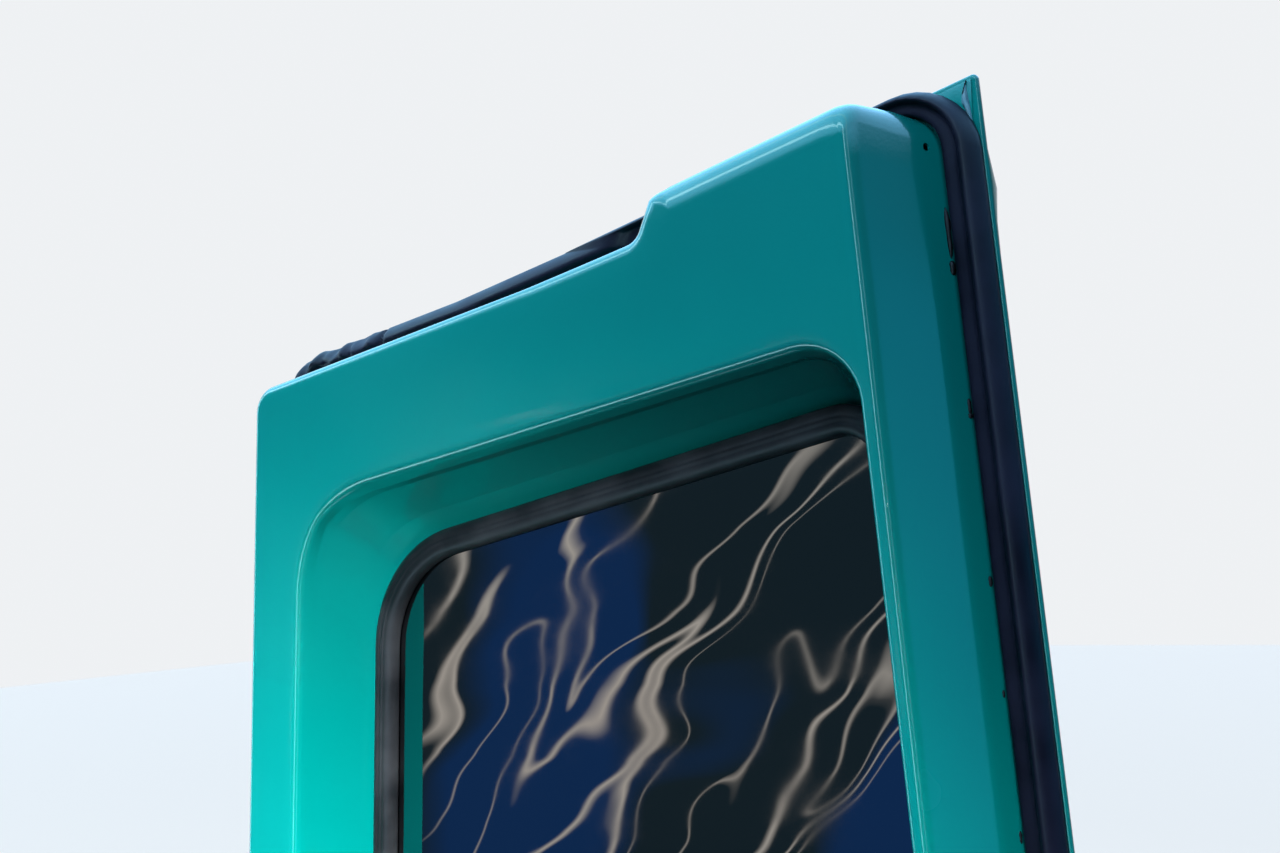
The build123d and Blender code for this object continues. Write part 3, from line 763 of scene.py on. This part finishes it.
sealer, sealer_tree, sealer_shader, sealer_place = node_material("grey_seam_sealer", sealer_tone, 0.55)
cracks = grain(sealer_tree, sealer_place, 300.0, detail=5.0, stretch=(2.0, 1.0, 0.5))
sealer_tree.links.new(ramp(sealer_tree, cracks, (0.36, (0.010, 0.060, 0.080)), (0.50, sealer_tone),
                           (0.72, (0.200, 0.340, 0.420))), sealer_shader.inputs["Base Color"])
raise_by(sealer_tree, sealer_shader, cracks, 0.0006)
sealer_bm = bmesh.new()
smeared(sealer_bm, [(Vector((x, hem_y - gusset_proud * 0.5, z)), half_width, 1.1) for x, z, half_width in (
    (0.5122, 1.0022, 0.2), (0.5117, 0.9985, 1.0), (0.5114, 0.9950, 1.9), (0.5116, 0.9915, 2.2),
    (0.5128, 0.9870, 1.5), (0.5140, 0.9815, 0.9), (0.5150, 0.9760, 0.6), (0.5160, 0.9700, 0.2))],
    Vector((1, 0, 0)), Vector((0, -1, 0)))
seam_sealer = finish_mesh("corner_seam_sealer", sealer_bm, (0, -1, 0))
seam_sealer.data.materials.append(sealer)
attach(seam_sealer, "door")
glue_bm = bmesh.new()
on_gusset_y = hem_y - gusset_proud - 0.0002
smeared(glue_bm, [(Vector((x, on_gusset_y, z)), half_width, 1.0) for x, z, half_width in (
    (0.5128, 1.0030, 0.1), (0.5121, 1.0010, 0.35), (0.5112, 0.9985, 0.4), (0.5104, 0.9962, 0.1))],
    Vector((1, 0, 0)), Vector((0, -1, 0)))
glue_share = 0.075
glue_runs = (
    # height of each run's middle on the wall, its half length, half width and height in mm
    (0.924, 14.0, 1.7, 2.2), (0.905, 4.0, 2.2, 2.4), (0.831, 4.5, 1.5, 1.9), (0.826, 1.5, 2.0, 2.2),
    (0.740, 3.0, 1.5, 1.9), (0.683, 2.2, 1.2, 1.5), (0.612, 3.5, 1.3, 1.5))
for run_z, half_length, half_width, height in glue_runs:
    middle = on_latch_wall(run_z, glue_share)
    smeared(glue_bm, [(middle + wall_up * step * half_length * mm, half_width * size, height * size)
                      for step, size in ((-1.0, 0.15), (-0.85, 0.6), (-0.45, 0.9), (0.0, 0.8), (0.4, 1.0),
                                         (0.8, 0.7), (1.0, 0.15))],
            wall_rise.normalized(), wall_normal)
glue = finish_mesh("seal_adhesive", glue_bm, (1, 0, 0))
black_adhesive = moulded_rubber("black_adhesive", (0.004, 0.004, 0.006), (0.012, 0.012, 0.016), 900.0)
glue.data.materials.append(black_adhesive)
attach(glue, "door")

# Service cover: a pressed plate with a raised border, screwed over the hole that the latch and its rods are
# reached through. It is painted with the door, and its eight square-drive screws are plated steel.
cover_screw_inset = 0.0072
cover_profile = [
    # set in from the edge and height over the inner face, in mm
    (0.6, 0.05), (0.0, 0.5), (0.0, 1.1), (0.5, 1.5), (13.5, 1.5), (15.5, 2.0), (18.5, 3.6), (20.5, 4.0),
    (40.0, 4.0), (42.0, 3.6), (45.0, 2.2), (47.0, 1.9),
]


def plated_steel():
    """Zinc plating: pale satin metal with cloudy wear and a few brown rust specks."""
    material, tree, shader, place = node_material("worn_zinc_plate", (0.46, 0.46, 0.44), 0.35, 1.0)
    specks = grain(tree, place, 95.0, detail=7.0)
    tone = ramp(tree, specks, (0.30, (0.40, 0.40, 0.39)), (0.62, (0.50, 0.49, 0.46)),
                (0.74, (0.16, 0.08, 0.04)))
    tree.links.new(tone, shader.inputs["Base Color"])
    tree.links.new(ramp(tree, specks, (0.63, 1.0), (0.74, 0.15)), shader.inputs["Metallic"])
    tree.links.new(ramp(tree, grain(tree, place, 40.0, detail=5.0), (0.3, 0.24), (0.7, 0.50)),
                   shader.inputs["Roughness"])
    raise_by(tree, shader, grain(tree, place, 1400.0, detail=2.0), 0.00003)
    return material


def screw_head(bm, centre, direction, radius, height):
    """A domed screw head with a four-sided driver recess."""
    turned(bm, centre, direction, [
        (radius, 0.0, 0), (radius, height * 0.35, 0), (radius * 0.86, height * 0.78, 0),
        (radius * 0.55, height, 0), (radius * 0.50, height, 4), (radius * 0.26, height * 0.35, 4)])


zinc = plated_steel()
cover_bm = bmesh.new()
cover_rings = join_loops(cover_bm, [loop_at(round_rectangle(
    cover_x, cover_z, cover_width - 2 * inset * mm, cover_height - 2 * inset * mm,
    max(cover_corner - inset * mm, 0.004)), face_y - height * mm) for inset, height in cover_profile])
flat_fill(cover_bm, cover_rings[0])
flat_fill(cover_bm, cover_rings[-1])
service_cover = finish_mesh("latch_service_cover", cover_bm, (0, -1, 0))
service_cover.data.materials.append(enamel)
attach(service_cover, "door")
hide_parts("service_cover")
cover_screw_bm = bmesh.new()
screw_reach_x = cover_width / 2 - cover_screw_inset
screw_reach_z = cover_height / 2 - cover_screw_inset
for sx, sz in ((-0.9, 1), (0, 1), (0.9, 1), (-0.9, -1), (0, -1), (0.9, -1), (-1, 0), (1, 0)):
    screw_place = Vector((cover_x + sx * screw_reach_x, face_y - sheet, cover_z + sz * screw_reach_z))
    screw_head(cover_screw_bm, screw_place, Vector((0, -1, 0)), radius=4.2, height=2.4)
cover_screws = finish_mesh("service_cover_screws", cover_screw_bm, (0, -1, 0))
crisp_edges(cover_screws, 35)
cover_screws.data.materials.append(zinc)
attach(cover_screws, "door")

# Hinges: pressed steel leaves with rolled knuckles, painted with the door, and plated pins with headed tops.
# Four flanged hexagon bolts hold each door leaf. The body leaves' holes stay open for bolts of their own.
hinge_heights = (("lower_hinge", 0.0), ("upper_hinge", 0.740))
hinge_bolt_x = 0.019
hinge_bolt_z = 0.022
leaf_plate = 0.004
door_leaf_y = skin_y + leaf_plate


def soften(node, width, material):
    """Rounds a CAD piece's hard edges a little and gives it its material."""
    bevel = node.modifiers.new("soft_edges", "BEVEL")
    bevel.width = width
    bevel.segments = 3
    bevel.limit_method = "ANGLE"
    bevel.angle_limit = radians(28)
    bevel.harden_normals = True
    node.data.materials.clear()
    node.data.materials.append(material)


for hinge_name, hinge_z in hinge_heights:
    soften(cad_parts[hinge_name + "_body_leaf"], 0.0007, enamel)
    soften(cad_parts[hinge_name + "_door_leaf"], 0.0007, enamel)
    soften(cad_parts[hinge_name + "_pin"], 0.0006, zinc)
    bolts_bm = bmesh.new()
    for sx in (-hinge_bolt_x, hinge_bolt_x):
        for sz in (-hinge_bolt_z, hinge_bolt_z):
            turned(bolts_bm, Vector((sx, door_leaf_y, hinge_z + sz)), Vector((0, 1, 0)), [
                (8.6, 0.1, 0), (8.6, 0.9, 0), (7.6, 1.5, 0), (7.3, 1.7, 6), (7.3, 5.4, 6), (6.6, 6.2, 0),
                (3.6, 6.3, 0), (3.2, 5.6, 0)])
    hinge_bolts = finish_mesh(hinge_name + "_door_leaf_bolts", bolts_bm, (0, 1, 0))
    crisp_edges(hinge_bolts, 32)
    hinge_bolts.data.materials.append(enamel)
    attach(hinge_bolts, "door")

# Handle: cast and chromed lever outside and a smaller one inside, each on a round rose, turning on a square
# steel spindle. The chrome is a little dulled and finely scratched.
inside_screw_reach = 0.0145
inside_rose_height = 0.003


def worn_chrome():
    """Chrome plating with fine scratches and dull patches where hands have worn it."""
    material, tree, shader, place = node_material("worn_chrome", (0.58, 0.59, 0.61), 0.12, 1.0)
    dull = grain(tree, place, 45.0, detail=6.0)
    tree.links.new(ramp(tree, dull, (0.40, 0.07), (0.72, 0.32)), shader.inputs["Roughness"])
    tree.links.new(ramp(tree, dull, (0.40, (0.60, 0.61, 0.63)), (0.75, (0.44, 0.44, 0.44))),
                   shader.inputs["Base Color"])
    raise_by(tree, shader, grain(tree, place, 300.0, detail=2.0, stretch=(0.15, 1.0, 2.5)), 0.00002)
    return material


chrome = worn_chrome()
soften(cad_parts["handle_rose"], 0.0008, chrome)
soften(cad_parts["inside_rose"], 0.0008, chrome)
soften(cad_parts["outside_handle"], 0.0014, chrome)
soften(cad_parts["inside_handle"], 0.0010, chrome)
soften(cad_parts["handle_spindle"], 0.0004, zinc)
rose_screw_bm = bmesh.new()
for sz in (-inside_screw_reach, inside_screw_reach):
    screw_place = Vector((handle_x, face_y - inside_rose_height, handle_z + sz))
    screw_head(rose_screw_bm, screw_place, Vector((0, -1, 0)), radius=2.6, height=0.4)
rose_screws = finish_mesh("inside_rose_screws", rose_screw_bm, (0, -1, 0))
crisp_edges(rose_screws, 35)
rose_screws.data.materials.append(zinc)
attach(rose_screws, "door")

# Latch: a plated faceplate on the sloping side, held by two low-headed screws, and the sprung bolt that comes
# out through it. One side of the bolt slopes, so that it slides in over its striker.
faceplate_thickness = 0.0025
faceplate_screw_reach = 0.034
soften(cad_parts["latch_faceplate"], 0.0005, zinc)
soften(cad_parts["latch_bolt"], 0.0006, zinc)
plate_screw_bm = bmesh.new()
for sz in (-faceplate_screw_reach, faceplate_screw_reach):
    screw_place = slot_middle + wall_up * sz + wall_normal * faceplate_thickness
    screw_head(plate_screw_bm, screw_place, wall_normal, radius=4.6, height=0.7)
plate_screws = finish_mesh("latch_faceplate_screws", plate_screw_bm, tuple(wall_normal))
crisp_edges(plate_screws, 35)
plate_screws.data.materials.append(zinc)
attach(plate_screws, "door")

# Floor: a wide sheet just under the part. Only the camera sees it pale and glowing. In the light that it
# throws back at the part it is dark grey, and gloss does not mirror it.
floor_size = 12.0
floor_drop = 0.002
floor_bm = bmesh.new()
bmesh.ops.create_grid(floor_bm, x_segments=4, y_segments=4, size=floor_size)
floor = finish_mesh("studio_floor", floor_bm, (0, 0, 1))
floor.location = (0.0, 0.0, cad_low.z - floor_drop)
floor_paint, floor_tree, floor_shader, _ = node_material("pale_floor", (0.80, 0.80, 0.79), 0.6)
seen = floor_tree.nodes.new("ShaderNodeLightPath")
pale = floor_tree.nodes.new("ShaderNodeMix")
pale.data_type = "RGBA"
pale.inputs["A"].default_value = (0.06, 0.06, 0.06, 1.0)
pale.inputs["B"].default_value = (0.17, 0.155, 0.145, 1.0)
floor_tree.links.new(seen.outputs["Is Camera Ray"], pale.inputs["Factor"])
floor_tree.links.new(pale.outputs["Result"], floor_shader.inputs["Base Color"])
floor_glow = floor_tree.nodes.new("ShaderNodeMath")
floor_glow.operation = "MULTIPLY"
floor_glow.inputs[1].default_value = 0.66
floor_tree.links.new(seen.outputs["Is Camera Ray"], floor_glow.inputs[0])
floor_tree.links.new(floor_glow.outputs["Value"], floor_shader.inputs["Emission Strength"])
floor_shader.inputs["Emission Color"].default_value = (1.0, 0.99, 0.97, 1.0)
floor.data.materials.append(floor_paint)
floor.visible_glossy = False

# Studio light: a pale wall behind the part and a dim room in front of it. Only gloss mirrors the cool glow
# overhead, the pale streaks in front of the glass and the rings that draw a bright line along every pressed
# edge. Large cool lamps stand above and behind, and a small warm one falls on the lower hinge side.
wall_tone = (0.62, 0.66, 0.70)
room_tone = (0.030, 0.060, 0.078)
backdrop_tone = (0.86, 0.88, 0.90)
overhead_tone = (0.26, 0.60, 1.0)
edge_tone = (0.48, 0.84, 1.0)
side_tone = (0.05, 0.55, 1.0)
patch_tone = (0.07, 0.31, 1.0)
streak_tone = (1.0, 0.88, 0.74)
wall_heading = 122.0
face_heading = -125.0
side_heading = 15.0
world = bpy.data.worlds.new("studio_surround")
bpy.context.scene.world = world
world.use_nodes = True
room = world.node_tree
seen_direction = room.nodes.new("ShaderNodeTexCoord").outputs["Generated"]


def facing(x, y, z):
    """How far a direction looks the same way as another one."""
    dot = room.nodes.new("ShaderNodeVectorMath")
    dot.operation = "DOT_PRODUCT"
    dot.inputs[1].default_value = (x, y, z)
    room.links.new(seen_direction, dot.inputs[0])
    return dot.outputs["Value"]


def facing_heading(heading, rise=0.0):
    """The same for a heading in degrees from +X."""
    return facing(cos(radians(heading)), sin(radians(heading)), rise)


def both(first, second):
    """The product of two masks."""
    product = room.nodes.new("ShaderNodeMath")
    product.operation = "MULTIPLY"
    room.links.new(first, product.inputs[0])
    room.links.new(second, product.inputs[1])
    return product.outputs["Value"]


def shine_over(under, mask, tone, strength):
    """Lays an even glow over the surround where a mask is white."""
    glow = room.nodes.new("ShaderNodeBackground")
    glow.inputs["Strength"].default_value = strength
    glow.inputs["Color"].default_value = (*tone, 1.0)
    layer = room.nodes.new("ShaderNodeMixShader")
    room.links.new(mask, layer.inputs[0])
    room.links.new(under, layer.inputs[1])
    room.links.new(glow.outputs["Background"], layer.inputs[2])
    return layer.outputs["Shader"]


ray = room.nodes.new("ShaderNodeLightPath")
early = room.nodes.new("ShaderNodeMath")
early.operation = "LESS_THAN"
early.inputs[1].default_value = 2.5
room.links.new(ray.outputs["Ray Depth"], early.inputs[0])
mirrored = both(early.outputs["Value"], ray.outputs["Is Glossy Ray"])
ground = room.nodes["Background"]
toward_wall = facing_heading(wall_heading)
room.links.new(ramp(room, toward_wall, (0.35, room_tone), (0.72, wall_tone)), ground.inputs["Color"])
overhead = both(ramp(room, facing(0.0, 0.0, 1.0), (0.36, 0.0), (0.50, 1.0)), mirrored)
surround = shine_over(ground.outputs["Background"], overhead, overhead_tone, 3.2)
toward_face = facing_heading(face_heading)
near_ring = ramp(room, toward_face, (0.630, 0.0), (0.660, 1.0), (0.720, 1.0), (0.750, 0.0))
surround = shine_over(surround, both(near_ring, mirrored), edge_tone, 8.5)
wide_ring = ramp(room, toward_face, (0.180, 0.0), (0.210, 1.0), (0.250, 1.0), (0.280, 0.0))
surround = shine_over(surround, both(wide_ring, mirrored), edge_tone, 3.0)
beside = ramp(room, facing_heading(side_heading, 0.05), (0.930, 0.0), (0.985, 1.0))
surround = shine_over(surround, both(beside, mirrored), side_tone, 1.3)
streak_zone = both(ramp(room, toward_face, (0.90, 0.0), (0.94, 1.0)),
                   ramp(room, facing(0.0, 0.0, 1.0), (0.08, 1.0), (0.14, 0.0)))
streak_zone = both(streak_zone, ramp(room, facing(-0.82, 0.57, 0.0), (0.150, 1.0), (0.175, 0.0)))
streak_zone = both(streak_zone, mirrored)
flow = room.nodes.new("ShaderNodeCombineXYZ")
room.links.new(facing(0.66, -0.52, -0.54), flow.inputs["X"])
room.links.new(facing(0.49, -0.24, 0.84), flow.inputs["Y"])
broad_flow = grain(room, flow.outputs["Vector"], 5.0, detail=1.0, stretch=(1.0, 0.5, 1.0), distortion=0.5)
patches = ramp(room, broad_flow, (0.53, 0.0), (0.58, 1.0))
surround = shine_over(surround, both(patches, streak_zone), patch_tone, 0.30)
fine_flow = grain(room, flow.outputs["Vector"], 10.0, detail=1.5, stretch=(1.0, 0.17, 1.0), distortion=0.7)
streaks = ramp(room, fine_flow, (0.425, 0.0), (0.433, 0.8), (0.441, 0.0), (0.492, 0.0), (0.504, 1.0),
               (0.514, 0.0), (0.565, 0.0), (0.571, 0.7), (0.577, 0.0))
surround = shine_over(surround, both(streaks, streak_zone), streak_tone, 1.5)
surround = shine_over(surround, ray.outputs["Is Camera Ray"], backdrop_tone, 1.0)
room.links.new(surround, room.nodes["World Output"].inputs["Surface"])


def soft_lamp(name, place, aim, width, height, power, tone, spread=180.0):
    """A soft lamp at a place, turned to what it lights. Gloss mirrors the surround instead of it."""
    light = bpy.data.lights.new(name, "AREA")
    light.shape = "RECTANGLE"
    light.size = width
    light.size_y = height
    light.energy = power
    light.color = tone
    light.spread = radians(spread)
    lamp = bpy.data.objects.new(name, light)
    lamp.location = place
    lamp.rotation_euler = (Vector(aim) - Vector(place)).to_track_quat("-Z", "Y").to_euler()
    lamp.visible_glossy = False
    bpy.context.scene.collection.objects.link(lamp)


cool = (0.60, 0.82, 1.0)
warm = (1.0, 0.98, 0.88)
soft_lamp("lamp_above", (-1.6, -1.0, 2.6), (-0.7, -0.6, 0.0), 2.4, 2.0, 135.0, cool)
soft_lamp("lamp_right", (1.55, -2.35, 2.1), (0.35, -0.05, 0.65), 1.6, 1.4, 44.0, cool)
soft_lamp("warm_low", (1.15, -1.4, 0.74), (-0.07, -0.09, 0.26), 0.30, 0.30, 7.5, warm, spread=41.0)
soft_lamp("top_glow", (-1.9, 0.6, 2.4), (0.1, -0.1, 0.9), 1.6, 1.2, 22.0, (0.45, 0.66, 1.0))
soft_lamp("back_fill", (0.6, 2.6, 2.0), (0.2, 0.0, 0.5), 2.0, 1.6, 40.0, cool)

# Camera: it stands in front of the latch side at the height of the window, and looks slightly up across the
# door, about 35 degrees off its normal.
camera_place = Vector((0.777086, -0.73471, 0.758456))
camera_ahead = Vector((-0.5682113, 0.81753563, 0.09365576))
camera_right = Vector((0.81795335, 0.57357644, -0.04429877))
camera_up = Vector((0.08993456, -0.05143498, 0.99461863))
camera_data = bpy.data.cameras.new("photo_camera")
camera_data.sensor_width = 36.0
camera_data.lens = 39.375
camera_data.clip_start = 0.01
camera = bpy.data.objects.new("photo_camera", camera_data)
camera.matrix_world = Matrix.Translation(camera_place) @ Matrix(
    (camera_right, camera_up, -camera_ahead)).transposed().to_4x4()
bpy.context.scene.collection.objects.link(camera)
bpy.context.scene.camera = camera
bpy.context.scene.view_settings.view_transform = "Standard"
